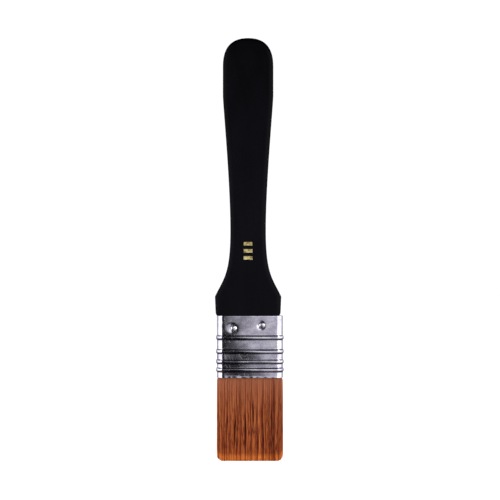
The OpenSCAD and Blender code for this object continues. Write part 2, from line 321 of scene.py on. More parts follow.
def satin_lacquer_on_beech(sizes):
    """Sprayed black nitrocellulose lacquer over sanded beech: a soft, nearly black satin in which
    the pores show faintly along the board, with slow cloudy changes of sheen."""
    made, tree, place = empty_material("satin_lacquer_on_beech")
    height = add(tree, "ShaderNodeSeparateXYZ", [place]).outputs["Z"]
    # Painted shade: the lacquer's colour darkens from the shoulder up to the round cap
    along = add(tree, "ShaderNodeMapRange", [height, -38 * MM, 87 * MM, 0, 1])
    stops = [(0, sizes.shoulder_lacquer_painted_lit), (0.45, sizes.shoulder_lacquer_painted_lit), (1, sizes.end_lacquer_painted_shaded)]
    tone = add(tree, "ShaderNodeValToRGB", [along], stops)
    # Beech pores are 0.1 mm wide and 1 to 3 mm long, and are drawn wider so that they show
    grain = add(tree, "ShaderNodeMapping", {"Vector": place, "Scale": (1, 1, 0.06)})
    pores = add(tree, "ShaderNodeTexNoise", {"Vector": grain, "Scale": 1 / (0.28 * MM), "Detail": 3})
    cloudy = add(tree, "ShaderNodeMapping", {"Vector": place, "Scale": (1, 1, 0.4)})
    haze = add(tree, "ShaderNodeTexNoise", {"Vector": cloudy, "Scale": 1 / (9 * MM), "Detail": 3})
    lift = add(tree, "ShaderNodeMapRange", [haze, 0.35, 0.75, 0, 0.2])
    tone = add(tree, "ShaderNodeMix", {0: lift, 6: tone, 7: linear("121118")}, data_type="RGBA")
    sheen = add(tree, "ShaderNodeMapRange", [haze, 0.3, 0.7, 0.4, 0.5])
    open_pores = add(tree, "ShaderNodeMapRange", [pores, 0.5, 0.8, 0, 0.1])
    rough = add(tree, "ShaderNodeMath", [sheen, open_pores], operation="ADD")
    # Sprayed lacquer has an orange-peel of about 1.5 mm
    peel = add(tree, "ShaderNodeTexNoise", {"Vector": place, "Scale": 1 / (1.5 * MM), "Detail": 1})
    skin = add(tree, "ShaderNodeBump", {"Height": peel, "Distance": 0.012 * MM})
    sunk = add(tree, "ShaderNodeMapRange", [pores, 0.55, 0.8, 1, 0])
    skin = add(tree, "ShaderNodeBump", {"Height": sunk, "Distance": 0.01 * MM, "Normal": skin})
    shader = add(tree, "ShaderNodeBsdfPrincipled", {
        "Base Color": tone,
        "Roughness": rough,
        "IOR": 1.48,
        "Specular IOR Level": 0.03,
        "Normal": skin,
    })
    add(tree, "ShaderNodeOutputMaterial", [shader])
    return made


def bare_beech(name):
    """Sawn beech without lacquer: pale tan with short darker flecks along the grain."""
    made, tree, place = empty_material(name)
    grain = add(tree, "ShaderNodeMapping", {"Vector": place, "Scale": (1, 1, 0.12)})
    # Beech's ray flecks are about 0.5 mm wide and a few millimetres long
    fleck = add(tree, "ShaderNodeTexNoise", {"Vector": grain, "Scale": 1 / (0.5 * MM), "Detail": 3})
    long_grain = add(tree, "ShaderNodeMapping", {"Vector": place, "Scale": (1, 1, 0.05)})
    rings = add(tree, "ShaderNodeTexNoise", {"Vector": long_grain, "Scale": 1 / (3 * MM)})
    tone = add(tree, "ShaderNodeValToRGB", [rings], [(0.3, linear("c79a6b")), (0.7, linear("dcb98c"))])
    dark = add(tree, "ShaderNodeMapRange", [fleck, 0.55, 0.75, 0, 0.6])
    tone = add(tree, "ShaderNodeMix", {0: dark, 6: tone, 7: linear("8d6238")}, data_type="RGBA")
    rough = add(tree, "ShaderNodeMapRange", [fleck, 0.3, 0.8, 0.65, 0.85])
    shader = add(tree, "ShaderNodeBsdfPrincipled", {
        "Base Color": tone,
        "Roughness": rough,
        "IOR": 1.5,
        "Specular IOR Level": 0.3,
        "Normal": add(tree, "ShaderNodeBump", {"Height": fleck, "Distance": 0.03 * MM}),
    })
    add(tree, "ShaderNodeOutputMaterial", [shader])
    return made


def hairline_scratches(tree, place):
    """Two sets of fine lines aslant across the metal: 1 on a scratch and 0 beside it."""
    found = 0.0
    for degrees, stretch, size, level in ((24, 0.05, 0.2, 0.66), (-58, 0.08, 0.35, 0.7)):
        slant = (0, math.radians(degrees), 0)
        turned = add(tree, "ShaderNodeMapping", {"Vector": place, "Rotation": slant})
        drawn = add(tree, "ShaderNodeMapping", {"Vector": turned, "Scale": (1, 1, stretch)})
        line = add(tree, "ShaderNodeTexNoise", {"Vector": drawn, "Scale": 1 / (size * MM), "Detail": 1})
        line = add(tree, "ShaderNodeMapRange", [line, level, level + 0.06, 0, 1])
        found = add(tree, "ShaderNodeMath", [found, line], operation="MAXIMUM")
    return found


def nickel_plated_tinplate(sizes):
    """Thin rolled steel with bright nickel: mirror-like, with a fine mottle from the rolling, cloudy
    patches and hairline scratches from handling."""
    made, tree, place = empty_material("nickel_plated_tinplate")
    # The plating's grain is finer than this; it is drawn as coarse as shows at arm's length
    fine = {"Vector": place, "Scale": 1 / (0.55 * MM), "Detail": 3, "Roughness": 0.6}
    mottle = add(tree, "ShaderNodeTexNoise", fine)
    flat = add(tree, "ShaderNodeMapping", {"Vector": place, "Scale": (1, 1, 1.6)})
    patches = {"Vector": flat, "Scale": 1 / (4.2 * MM), "Detail": 3, "Roughness": 0.55}
    cloud = add(tree, "ShaderNodeTexNoise", patches)
    scratches = hairline_scratches(tree, place)
    dull = add(tree, "ShaderNodeMapRange", [cloud, 0.38, 0.68, 0, 1])
    tone = add(tree, "ShaderNodeMix", {0: dull, 6: sizes.metal, 7: sizes.tarnish}, data_type="RGBA")
    dull = add(tree, "ShaderNodeMapRange", [mottle, 0.35, 0.7, 0, 0.55])
    tone = add(tree, "ShaderNodeMix", {0: dull, 6: tone, 7: sizes.tarnish}, data_type="RGBA")
    bared = add(tree, "ShaderNodeMath", [scratches, 0.6], operation="MULTIPLY")
    tone = add(tree, "ShaderNodeMix", {0: bared, 6: tone, 7: linear("e9e8ee")}, data_type="RGBA")
    rough = add(tree, "ShaderNodeMapRange", [cloud, 0.3, 0.7, 0.05, 0.1])
    rolled = add(tree, "ShaderNodeMapRange", [mottle, 0.4, 0.7, 0, 0.04])
    rough = add(tree, "ShaderNodeMath", [rough, rolled], operation="ADD")
    torn = add(tree, "ShaderNodeMath", [scratches, 0.2], operation="MULTIPLY")
    rough = add(tree, "ShaderNodeMath", [rough, torn], operation="ADD")
    skin = add(tree, "ShaderNodeBump", {"Height": mottle, "Distance": 0.003 * MM})
    skin = add(tree, "ShaderNodeBump", {"Height": scratches, "Distance": 0.0025 * MM, "Normal": skin})
    shader = add(tree, "ShaderNodeBsdfPrincipled", {
        "Base Color": tone,
        "Metallic": 1.0,
        "Roughness": rough,
        "Normal": skin,
    })
    add(tree, "ShaderNodeOutputMaterial", [shader])
    return made


def nickel_plated_nail_steel(sizes):
    """Drawn wire nail with a hammered, plated head: bright, with dull dents from the hammer."""
    made, tree, place = empty_material("nickel_plated_nail_steel")
    # Each blow leaves a dull dent about 0.7 mm across
    dents = add(tree, "ShaderNodeTexNoise", {"Vector": place, "Scale": 1 / (0.7 * MM)})
    dull = add(tree, "ShaderNodeMapRange", [dents, 0.45, 0.7, 0, 1])
    tone = add(tree, "ShaderNodeMix", {0: dull, 6: sizes.steel, 7: linear("9794a0")}, data_type="RGBA")
    shader = add(tree, "ShaderNodeBsdfPrincipled", {
        "Base Color": tone,
        "Metallic": 1.0,
        "Roughness": add(tree, "ShaderNodeMapRange", [dents, 0.3, 0.7, 0.12, 0.26]),
        "Normal": add(tree, "ShaderNodeBump", {"Height": dents, "Distance": 0.05 * MM}),
    })
    add(tree, "ShaderNodeOutputMaterial", [shader])
    return made


def epoxy_setting():
    """Cast epoxy that holds the roots: amber, smooth, with small bubbles."""
    made, tree, place = empty_material("epoxy_setting")
    bubbles = add(tree, "ShaderNodeTexNoise", {"Vector": place, "Scale": 1 / (0.6 * MM)})
    cloudy = add(tree, "ShaderNodeTexNoise", {"Vector": place, "Scale": 1 / (3 * MM)})
    ambers = [(0.3, linear("8a5a24")), (0.7, linear("b98643"))]
    shader = add(tree, "ShaderNodeBsdfPrincipled", {
        "Base Color": add(tree, "ShaderNodeValToRGB", [cloudy], ambers),
        "Roughness": add(tree, "ShaderNodeMapRange", [bubbles, 0.4, 0.8, 0.15, 0.35]),
        "IOR": 1.55,
        "Subsurface Weight": 0.2,
        "Subsurface Scale": 1 * MM,
        "Normal": add(tree, "ShaderNodeBump", {"Height": bubbles, "Distance": 0.05 * MM}),
    })
    add(tree, "ShaderNodeOutputMaterial", [shader])
    return made


def tapered_polyester_filament(sizes):
    """Drawn and dyed polyester, tapered at the end: reddish brown with a soft gleam along each
    filament, with painted shade that makes it duller and redder deep in the tuft and in the gaps between
    wisps, and pale orange where the tips are finest."""
    made, tree, place = empty_material("tapered_polyester_filament")
    along = add(tree, "ShaderNodeAttribute", attribute_name="along").outputs["Fac"]
    tone = add(tree, "ShaderNodeAttribute", attribute_name="tone").outputs["Fac"]
    stops = [
        (0.0, sizes.root_tone),
        (0.42, sizes.middle_tone),
        (0.9, sizes.low_tone),
        (0.955, sizes.tip_tone),
        (1.0, sizes.tip_tone),
    ]
    dyed = add(tree, "ShaderNodeValToRGB", [along], stops)
    # Painted shade: filaments cling in wisps of about 0.5 mm that part and close again every few
    # millimetres, and the colour is darkened in the gaps where they part, more so lower down and less at
    # the tips
    drawn_out = add(tree, "ShaderNodeMapping", {"Vector": place, "Scale": (1, 1, 0.13)})
    clinging = {"Vector": drawn_out, "Scale": 1 / (0.55 * MM), "Detail": 3, "Roughness": 0.6}
    wisps = add(tree, "ShaderNodeTexNoise", clinging)
    painted_gap_shade = add(tree, "ShaderNodeMapRange", [wisps, 0.36, 0.54, 1, 0], interpolation_type="SMOOTHSTEP")
    more_below = add(tree, "ShaderNodeMapRange", [along, 0.05, 0.6, 0.1, 0.75])
    painted_gap_shade = add(tree, "ShaderNodeMath", [painted_gap_shade, more_below], operation="MULTIPLY")
    less_at_tips = add(tree, "ShaderNodeMapRange", [along, 0.86, 0.95, 1, 0.25])
    painted_gap_shade = add(tree, "ShaderNodeMath", [painted_gap_shade, less_at_tips], operation="MULTIPLY")
    # Near the ferrule they lie tight and even, so there the tone's differences and the painted deep shade
    # fade
    tight = add(tree, "ShaderNodeMapRange", [along, 0, 0.35, 0.6, 0])
    uneven = add(tree, "ShaderNodeMath", [0.75, tone], operation="SUBTRACT")
    evened = add(tree, "ShaderNodeMath", [uneven, tight], operation="MULTIPLY")
    tone = add(tree, "ShaderNodeMath", [tone, evened], operation="ADD")
    together = add(tree, "ShaderNodeMath", [1.0, painted_gap_shade], operation="SUBTRACT")
    tone = add(tree, "ShaderNodeMath", [tone, together], operation="MULTIPLY")
    # The tone holds the lock's own tone together with the painted shade deep in the tuft and in the gaps;
    # this ramp turns it into a darker, redder colour
    tone_and_shade_stops = [
        (0.0, linear("5a2410")),
        (0.3, linear("b0836a")),
        (0.62, linear("f0e4d8")),
        (1.0, linear("ffffff")),
    ]
    depth = add(tree, "ShaderNodeValToRGB", [tone], tone_and_shade_stops)
    layers = {0: 1.0, 6: dyed, 7: depth}
    shaded = add(tree, "ShaderNodeMix", layers, data_type="RGBA", blend_type="MULTIPLY")
    drawn_fine = add(tree, "ShaderNodeMapping", {"Vector": place, "Scale": (1, 1, 0.05)})
    lines = add(tree, "ShaderNodeTexNoise", {"Vector": drawn_fine, "Scale": 1 / (0.15 * MM)})
    shader = add(tree, "ShaderNodeBsdfPrincipled", {
        "Base Color": shaded,
        "Roughness": add(tree, "ShaderNodeMapRange", [lines, 0.3, 0.7, 0.34, 0.55]),
        "IOR": 1.57,
        "Specular IOR Level": 0.2,
    })
    add(tree, "ShaderNodeOutputMaterial", [shader])
    return made


def hot_stamped_foil(sizes):
    """Metallised foil pressed into lacquer with a hot die: pale gold, with specks where the lacquer
    shows through."""
    made, tree, place = empty_material("hot_stamped_foil")
    speckled = {"Vector": place, "Scale": 1 / (0.32 * MM), "Detail": 3, "Roughness": 0.6}
    specks = add(tree, "ShaderNodeTexNoise", speckled)
    rubbed = add(tree, "ShaderNodeTexNoise", {"Vector": place, "Scale": 1 / (1.1 * MM)})
    thin = add(tree, "ShaderNodeMapRange", [rubbed, 0.4, 0.65, 0, 1])
    tone = add(tree, "ShaderNodeMix", {0: thin, 6: sizes.gold, 7: sizes.worn}, data_type="RGBA")
    bare = add(tree, "ShaderNodeMapRange", [specks, 0.6, 0.66, 0, 1])
    tone = add(tree, "ShaderNodeMix", {0: bare, 6: tone, 7: linear("15131a")}, data_type="RGBA")
    shader = add(tree, "ShaderNodeBsdfPrincipled", {
        "Base Color": tone,
        "Metallic": add(tree, "ShaderNodeMapRange", [bare, 0, 1, 0.85, 0]),
        "Roughness": add(tree, "ShaderNodeMapRange", [specks, 0.3, 0.7, 0.3, 0.5]),
        "IOR": 1.5,
        "Normal": add(tree, "ShaderNodeBump", {"Height": specks, "Distance": 0.01 * MM}),
    })
    add(tree, "ShaderNodeOutputMaterial", [shader])
    return made


def studio_paper():
    """Seamless white paper: matt, with faint cloudy changes of white."""
    made, tree, place = empty_material("studio_paper")
    tooth = add(tree, "ShaderNodeTexNoise", {"Vector": place, "Scale": 1 / (4 * MM)})
    whites = [(0.3, linear("f7f7f7")), (0.7, linear("fcfcfc"))]
    shader = add(tree, "ShaderNodeBsdfPrincipled", {
        "Base Color": add(tree, "ShaderNodeValToRGB", [tooth], whites),
        "Roughness": 0.95,
        "Specular IOR Level": 0.1,
    })
    add(tree, "ShaderNodeOutputMaterial", [shader])
    return made


# ---- Handle ----

CAP_STEPS = 26
TAPER_STEPS = 30
FLARE_STEPS = 26
EDGE_STEPS = 7
# The last points of the outline, whose rounded edge is set in level so that the seat stays flat
LEVEL_POINTS = 3
# How far the end cap's curve keeps level, as a share of the palm's half width, and then upright, as
# a share of its own length
CAP_LEVEL = 0.83
CAP_UPRIGHT = 0.5
# How far the outline runs straight on out of the palm, above and below the waist, and at the shoulder
PALM_LEAD = 4 * MM
ABOVE_WAIST = 22 * MM
BELOW_WAIST = 20 * MM
SHOULDER_LEAD = 8 * MM
# How far the outline moves sideways for each step down, where it comes to the shoulder
SHOULDER_SLOPE = 0.47
# Shape of the softened lower corner: its height and how far it has turned in half way, as shares of
# its size
CORNER_HEIGHT = 2
CORNER_MIDDLE = (0.3, 0.8)
# Width of the strip of flat face beside the rounded edge, and of the ledge round the tenon
FACE_STRIP = 0.5 * MM
TENON_LEDGE = 1.2 * MM
# Points this close to the seat's height lie on it
ON_SEAT = 0.001 * MM


def handle_side(sizes):
    """Right half of the handle's outline from the end cap down to the seat."""
    palm = sizes.palm_width / 2
    waist = sizes.waist_width / 2
    shoulder = HANDLE_HIGH.x
    top = HANDLE_HIGH.z
    palm_top = top - sizes.cap_length
    taper = sizes.taper_start
    flare = -sizes.flare_length
    seat = FERRULE_TOP + sizes.seat_gap
    seat_half = shoulder - sizes.shoulder_draw
    corner = sizes.shoulder_corner
    cap_up = palm_top + sizes.cap_length * CAP_UPRIGHT
    near_shoulder = (shoulder - SHOULDER_SLOPE * SHOULDER_LEAD, flare + SHOULDER_LEAD)
    points = [Vector((0, top))]
    points += curve([(0, top), (palm * CAP_LEVEL, top), (palm, cap_up), (palm, palm_top)], CAP_STEPS)
    points += [Vector((palm, palm_top + (taper - palm_top) * i / 4)) for i in (1, 2, 3, 4)]
    taper_curve = [(palm, taper), (palm, taper - PALM_LEAD), (waist, ABOVE_WAIST), (waist, 0)]
    points += curve(taper_curve, TAPER_STEPS)
    points += curve([(waist, 0), (waist, -BELOW_WAIST), near_shoulder, (shoulder, flare)], FLARE_STEPS)
    points += [
        Vector((seat_half, seat + corner * CORNER_HEIGHT)),
        Vector((seat_half - corner * CORNER_MIDDLE[0], seat + corner * CORNER_MIDDLE[1])),
        Vector((seat_half - corner, seat)),
    ]
    return points


def outward_of(side):
    """The direction out of the outline at each of its points."""
    found = []
    for i in range(len(side)):
        if i == 0:
            found.append(Vector((0, 1)))
        elif i >= len(side) - LEVEL_POINTS:
            found.append(Vector((1, 0)))
        else:
            along = (side[i + 1] - side[i - 1]).normalized()
            found.append(Vector((-along.y, along.x)))
    return found


def edge_section(radius):
    """The handle's section as (distance in from the outline, y): a strip of one flat face, the rounded
    edge and a strip of the other face."""
    half = HANDLE_HIGH.y
    quarter = [math.pi / 2 * i / EDGE_STEPS for i in range(EDGE_STEPS + 1)]
    found = [(radius + FACE_STRIP, -half)]
    found += [(radius * (1 - math.cos(a)), -(half - radius * (1 - math.sin(a)))) for a in reversed(quarter)]
    found += [(radius * (1 - math.cos(a)), half - radius * (1 - math.sin(a))) for a in quarter]
    return found + [(radius + FACE_STRIP, half)]


def handle_mesh(sizes):
    """The whole paddle, closed, with a flat seat at its lower end."""
    side = handle_side(sizes)
    out = outward_of(side)
    last = len(side) - 1
    points = side + [Vector((-p.x, p.y)) for p in side[last:0:-1]]
    ways = out + [Vector((-w.x, w.y)) for w in out[last:0:-1]]
    section = edge_section(sizes.edge_radius)
    bm = bmesh.new()
    number = bm.verts.layers.int.new("outline")
    ring = bmesh.ops.create_circle(bm, segments=len(points), radius=1)["verts"]
    for i, vert in enumerate(ring):
        vert[number] = i

    def settle(verts, inward, y):
        for vert in verts:
            place = points[vert[number]] - ways[vert[number]] * inward
            vert.co = (place.x, y, place.y)

    settle(ring, *section[0])
    edges = bm.edges[:]
    first_loop = edges
    for inward, y in section[1:]:
        made = bmesh.ops.extrude_edge_only(bm, edges=edges)
        fresh = set(verts_in(made))
        settle(fresh, inward, y)
        edges = [g for g in made["geom"] if isinstance(g, bmesh.types.BMEdge) and set(g.verts) <= fresh]
    bmesh.ops.contextual_create(bm, geom=first_loop)
    bmesh.ops.contextual_create(bm, geom=edges)
    bmesh.ops.recalc_face_normals(bm, faces=bm.faces)
    return bm


def add_tenon(bm, sizes):
    """Turns the flat seat into a shoulder with a tenon below it, and softens the shoulder's edge."""
    seat = FERRULE_TOP + sizes.seat_gap
    level = [f for f in bm.faces if all(abs(v.co.z - seat) < ON_SEAT for v in f.verts)]
    under = bmesh.ops.dissolve_faces(bm, faces=level)["region"][0]
    rim = under.edges[:]
    bmesh.ops.inset_region(bm, faces=[under], thickness=TENON_LEDGE)
    half_seat = max(v.co.x for v in under.verts)
    half_board = max(v.co.y for v in under.verts)
    tenon_half = (FERRULE_HIGH.x - FERRULE_LOW.x) / 2 - sizes.tenon_inset
    tenon_thick = HANDLE_HIGH.y - sizes.tenon_gap
    for vert in under.verts:
        vert.co.x = FERRULE_X + vert.co.x * tenon_half / half_seat
        vert.co.y = vert.co.y * tenon_thick / half_board
    grown = bmesh.ops.extrude_discrete_faces(bm, faces=[under])["faces"]
    for vert in grown[0].verts:
        vert.co.z = HANDLE_LOW.z
    bmesh.ops.bevel(
        bm, geom=rim, offset=sizes.seat_edge, offset_type="OFFSET", segments=2,
        profile=0.5, affect="EDGES", material=-1, clamp_overlap=True,
    )
    # The lacquer runs a little way down the tenon
    cut(bm, (0, 0, seat - sizes.lacquer_run), (0, 0, 1))
    for face in bm.faces:
        if face.calc_center_median().z < seat - sizes.lacquer_run:
            face.material_index = 1


class BRUSH_OT_handle(bpy.types.Operator):
    """Make the lacquered paddle handle with its bare tenon"""

    bl_idname = "brush.handle"
    bl_label = "Handle"

    def execute(self, context):
        sizes = context.scene.brush_handle
        bm = handle_mesh(sizes)
        add_tenon(bm, sizes)
        shade(bm, 40)
        obj = piece("paddle_handle", bm, [satin_lacquer_on_beech(sizes), bare_beech("bare_beech")])
        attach(obj, "root")
        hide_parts("handle")
        return {"FINISHED"}


# ---- Ferrule ----

# Distance of each bead's middle below the ferrule's upper edge
BEADS = [d * MM for d in (9.8, 16.1, 20.7, 24.4)]
# A higher power makes a bead's crown broader and its flanks steeper
BEAD_FULLNESS = 3
# How the belly of each band leans to one side, from the nailed band down to the mouth
BAND_LEAN = (-0.2, 0.0, 0.75, -0.1, 0.6)
# Height over which the lean changes from one band to the next
LEAN_CHANGE = 1.2 * MM
# How much of the belly is lost towards the upper edge and the mouth
BARREL_LOSS = 0.65
# Waves in the sheet, as strength, length across, place in the noise and length upwards
SHEET_WAVES = ((1, 7 * MM, 3.1, 5 * MM), (0.2, 2.4 * MM, 7.7, 2.4 * MM))
# A higher number makes the hollow that a nail pulls in end sooner
DISH_SHARPNESS = 2.2
# Width over which the lap seam's covered side slopes up to its full height
SEAM_SLOPE = 0.9 * MM
# Cuts that let the wall take its shape: through the nailed band, across the broad faces, over half
# a bead, beside a bead, in the widest plain band, above the mouth and on both sides of the seam's edge
NAIL_BAND_STEP = 0.4 * MM
NAIL_BAND_CUTS = 21
FACE_STEP = 0.45 * MM
BEAD_CUTS = 6
BESIDE_BEAD = 0.3 * MM
WIDE_BAND_CUT = 1 * MM
MOUTH_CUTS = (1.2 * MM, 0.8 * MM, 0.4 * MM)
SEAM_EDGE_CUT = 0.02 * MM
CORNER_STEPS = 12
# The rims are rounded a little, and every edge this close to the ferrule's ends belongs to one
RIM_ROUND = 0.1 * MM
RIM_REACH = 0.3 * MM
# Length of the waves along the mouth's edge, their place in the noise, and how much of the flare is
# there between them
MOUTH_WAVE = 1.9 * MM
THROUGH_WAVE = 5 * MM
MOUTH_WAVE_PLACE = 4.2
EVEN_FLARE = 0.7
# The edge is cut clean, so its waves reach less far down than up
LOWEST_WAVE = -0.2


def core_of(p, half_width, half_thick, radius):
    """The nearest point of the straight core inside a rounded rectangle, level with p."""
    inner_x, inner_y = half_width - radius, half_thick - radius
    x = min(max(p.x - FERRULE_X, -inner_x), inner_x) + FERRULE_X
    return Vector((x, min(max(p.y, -inner_y), inner_y), p.z))


def bead_rise(drop, sizes):
    """How far a bead stands out at this distance below the upper edge."""
    away = min(abs(drop - bead) for bead in BEADS) / (sizes.bead_width / 2)
    return sizes.bead_height * (1 - min(away, 1) ** BEAD_FULLNESS)


def band_lean(drop):
    """How the belly leans at this height, changing from band to band across each bead."""
    lean = BAND_LEAN[0]
    for bead, below in zip(BEADS, BAND_LEAN[1:]):
        lean += (below - lean) * ease((drop - bead) / LEAN_CHANGE + 0.5)
    return lean


def barrel(drop):
    """How full the belly is at this height: it thins towards the upper edge and the mouth."""
    middle = (FERRULE_TOP - MOUTH_Z) / 2
    return 1 - BARREL_LOSS * ((drop - middle) / middle) ** 2


def nail_places():
    """Middle of each nail's head along X and Z, and the way that it faces."""
    found = []
    for name in NAILS:
        low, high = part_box(name)
        facing = -1 if low.y + high.y < 0 else 1
        found.append((Vector(((low.x + high.x) / 2, 0, (low.z + high.z) / 2)), facing))
    return found


def wall_rise(p, sizes, half_width, half_thick, nails):
    """How far the finished outer wall stands out from the plain rounded rectangle at p."""
    drop = FERRULE_TOP - p.z
    rise = bead_rise(drop, sizes)
    side = (p.x - FERRULE_X) / (half_width - sizes.corner_radius)
    facing = -1 if p.y < 0 else 1
    if abs(side) < 1:
        swell = (1 - side * side) * (1 + band_lean(drop) * side) * sizes.belly * barrel(drop)
        wave = sum(
            strength * noise.noise(Vector((p.x / across, facing * where, p.z / upwards)))
            for strength, across, where, upwards in SHEET_WAVES
        )
        rise += swell + sizes.ripple * wave * (1 - side ** 4)
        for place, way in nails:
            away = math.hypot(p.x - place.x - way * sizes.dish_aside, p.z - place.z)
            if way == facing and away < 2 * sizes.dish_radius:
                pull = math.exp(-((away / sizes.dish_radius) ** 2) * DISH_SHARPNESS)
                rise -= (swell + sizes.dish_depth) * pull
    seam = FERRULE_X - sizes.seam_side
    if facing > 0:
        half_seam = sizes.seam_width / 2
        if p.x < seam + half_seam:
            rise += ease((p.x - seam + half_seam) / SEAM_SLOPE) * sizes.sheet
    return rise


def ferrule_levels(sizes):
    """Heights at which the wall is cut, close together at the nails and over each bead."""
    drops = [NAIL_BAND_STEP * i for i in range(1, NAIL_BAND_CUTS + 1)]
    half = sizes.bead_width / 2
    for bead in BEADS:
        steps = range(-BEAD_CUTS, BEAD_CUTS + 1)
        drops += [bead + half * math.sin(math.pi / 2 * i / BEAD_CUTS) for i in steps]
        drops += [bead + way * (half + BESIDE_BEAD) for way in (-1, 1)]
    middles = [(a + b) / 2 for a, b in zip(BEADS, BEADS[1:])]
    drops += middles + [middles[0] - WIDE_BAND_CUT, middles[0] + WIDE_BAND_CUT]
    total = FERRULE_TOP - MOUTH_Z
    drops += [total - above for above in MOUTH_CUTS]
    return sorted(d for d in drops if 0 < d < total)


def work_mouth(vert, out, sizes):
    """Turns the mouth's edge out a little, by hand, and leaves it wavy."""
    near_mouth = ease(1 - (vert.co.z - MOUTH_Z) / sizes.flare_height)
    wave = noise.noise(Vector((vert.co.x / MOUTH_WAVE, vert.co.y / THROUGH_WAVE, MOUTH_WAVE_PLACE)))
    vert.co += out * sizes.flare * near_mouth * (EVEN_FLARE + wave)
    vert.co.z += max(wave, LOWEST_WAVE) * sizes.scallop * near_mouth


def is_rim(edge):
    """True for an edge along the ferrule's upper edge or mouth."""
    heights = [v.co.z for v in edge.verts]
    return min(heights) > FERRULE_TOP - RIM_REACH or max(heights) < MOUTH_Z + RIM_REACH


class BRUSH_OT_ferrule(bpy.types.Operator):
    """Make the beaded tinplate ferrule with its lap seam"""

    bl_idname = "brush.ferrule"
    bl_label = "Ferrule"

    def execute(self, context):
        sizes = context.scene.brush_ferrule
        half_width = (FERRULE_HIGH.x - FERRULE_LOW.x) / 2 - sizes.bead_height
        half_thick = -FERRULE_LOW.y - sizes.bead_height
        height = FERRULE_TOP - MOUTH_Z
        bm = bmesh.new()
        bmesh.ops.create_cube(bm, size=1)
        bmesh.ops.scale(bm, vec=(2 * half_width, 2 * half_thick, height), verts=bm.verts)
        bmesh.ops.translate(bm, vec=(FERRULE_X, 0, MOUTH_Z + height / 2), verts=bm.verts)
        upright = [e for e in bm.edges if abs(e.verts[0].co.z - e.verts[1].co.z) > height / 2]
        bmesh.ops.bevel(
            bm, geom=upright, offset=sizes.corner_radius, offset_type="OFFSET", segments=CORNER_STEPS,
            profile=0.5, affect="EDGES", material=-1,
        )
        ends = [f for f in bm.faces if abs(f.normal.z) > 0.5]
        bmesh.ops.delete(bm, geom=ends, context="FACES_ONLY")
        for drop in ferrule_levels(sizes):
            cut(bm, (0, 0, FERRULE_TOP - drop), (0, 0, 1))
        inner = half_width - sizes.corner_radius
        columns = int(2 * inner / FACE_STEP)
        for i in range(1, columns):
            cut(bm, (FERRULE_X - inner + 2 * inner * i / columns, 0, 0), (1, 0, 0))
        seam_edge = FERRULE_X - sizes.seam_side + sizes.seam_width / 2
        for step in (-SEAM_EDGE_CUT, SEAM_EDGE_CUT):
            cut(bm, (seam_edge + step, 0, 0), (1, 0, 0))
        nails = nail_places()
        moves = []
        for vert in bm.verts:
            out = vert.co - core_of(vert.co, half_width, half_thick, sizes.corner_radius)
            rise = wall_rise(vert.co, sizes, half_width, half_thick, nails)
            moves.append((vert, out.normalized(), rise))
        for vert, out, rise in moves:
            work_mouth(vert, out, sizes)
            vert.co += out * rise
        bmesh.ops.recalc_face_normals(bm, faces=bm.faces)
        bmesh.ops.solidify(bm, geom=bm.faces[:], thickness=sizes.sheet)
        rims = [e for e in bm.edges if e.calc_face_angle(0) > math.radians(60) and is_rim(e)]
        bmesh.ops.bevel(
            bm, geom=rims, offset=RIM_ROUND, offset_type="OFFSET", segments=2,
            profile=0.5, affect="EDGES", material=-1, clamp_overlap=True,
        )
        shade(bm, 50)
        obj = piece("beaded_ferrule", bm, [nickel_plated_tinplate(sizes)])
        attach(obj, "root")
        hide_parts("ferrule")
        return {"FINISHED"}


# ---- Nails ----

DOME_STEPS = 7
# Thickness of the head's rim, and size of the fillet where the head meets the shank
HEAD_RIM = 0.12 * MM
HEAD_FILLET = 0.1 * MM
# How far the head's lower edge is broken, inwards and upwards
BROKEN_EDGE = (0.05 * MM, 0.03 * MM)
# Width and depth of the hammer's dents, which lie above this height on the dome
DENT_WIDTH = 0.9 * MM
DENT_DEPTH = 0.07 * MM
DENTS_ABOVE = 0.2 * MM
TURN_STEPS = 28


def nail_profile(head, length_below, sizes):
    """Half outline of a nail along +Z, from the top of its dome to its point."""
    dome = [math.pi / 2 * i / DOME_STEPS for i in range(DOME_STEPS)]
    points = [Vector((head * math.sin(a), 0, sizes.dome * math.cos(a))) for a in dome]
    inwards, upwards = BROKEN_EDGE
    points += [Vector((head, 0, HEAD_RIM)), Vector((head, 0, upwards)), Vector((head - inwards, 0, 0))]
    shank = sizes.shank / 2
    points += [Vector((shank + HEAD_FILLET, 0, 0)), Vector((shank, 0, -HEAD_FILLET))]
    points += [Vector((shank, 0, -length_below + sizes.point)), Vector((0, 0, -length_below))]
    return points


